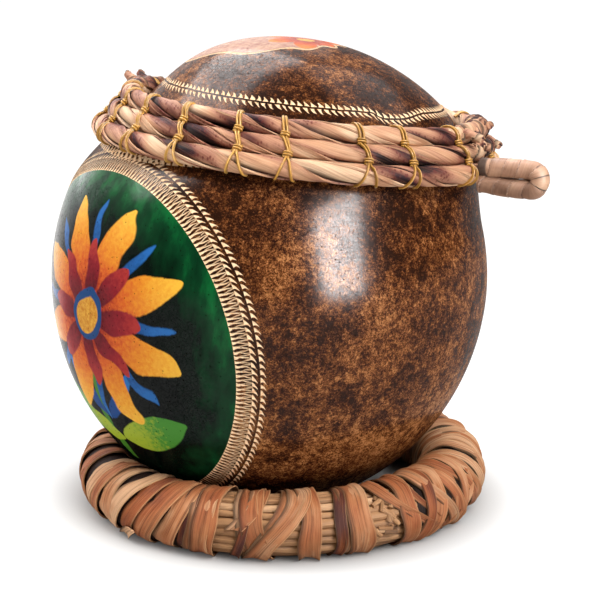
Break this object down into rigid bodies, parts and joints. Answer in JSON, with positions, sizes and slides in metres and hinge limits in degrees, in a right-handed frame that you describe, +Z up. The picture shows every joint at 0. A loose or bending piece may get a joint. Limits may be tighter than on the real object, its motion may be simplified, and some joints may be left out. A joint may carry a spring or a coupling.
{
  "type": "lidded gourd box",
  "caption": "Round dried-gourd box with a domed lid, a rim of twisted leaf coils sewn with thread, a short leaf-bound lift loop and a straw ring bound with leaf strip to stand in.",
  "frame": {"origin": "on the table, at the middle of the gourd's flat foot", "axes": "+Z up, +X towards the side the gourd leans and the lift loop stands out on"},
  "size_m": [0.165, 0.15, 0.1603],
  "materials": {
    "gourd_shell": "dark mottled gourd skin under clear lacquer",
    "rim_leaf": "dry twisted leaf, matte",
    "thread": "waxed thread",
    "straw": "dry straw, matte",
    "ring_leaf": "dry flat leaf strip, slight sheen"
  },
  "bodies": {
    "root": {"gourd_bowl": "gourd_shell", "gourd_lid": "gourd_shell", "rim_coil_upper": "rim_leaf", "rim_coil_middle": "rim_leaf", "rim_coil_lower": "rim_leaf", "rim_stitching": "thread", "lift_loop": "rim_leaf", "ring_straw_bundle": "straw", "ring_leaf_wrapping": "ring_leaf"}
  },
  "joints": []
}
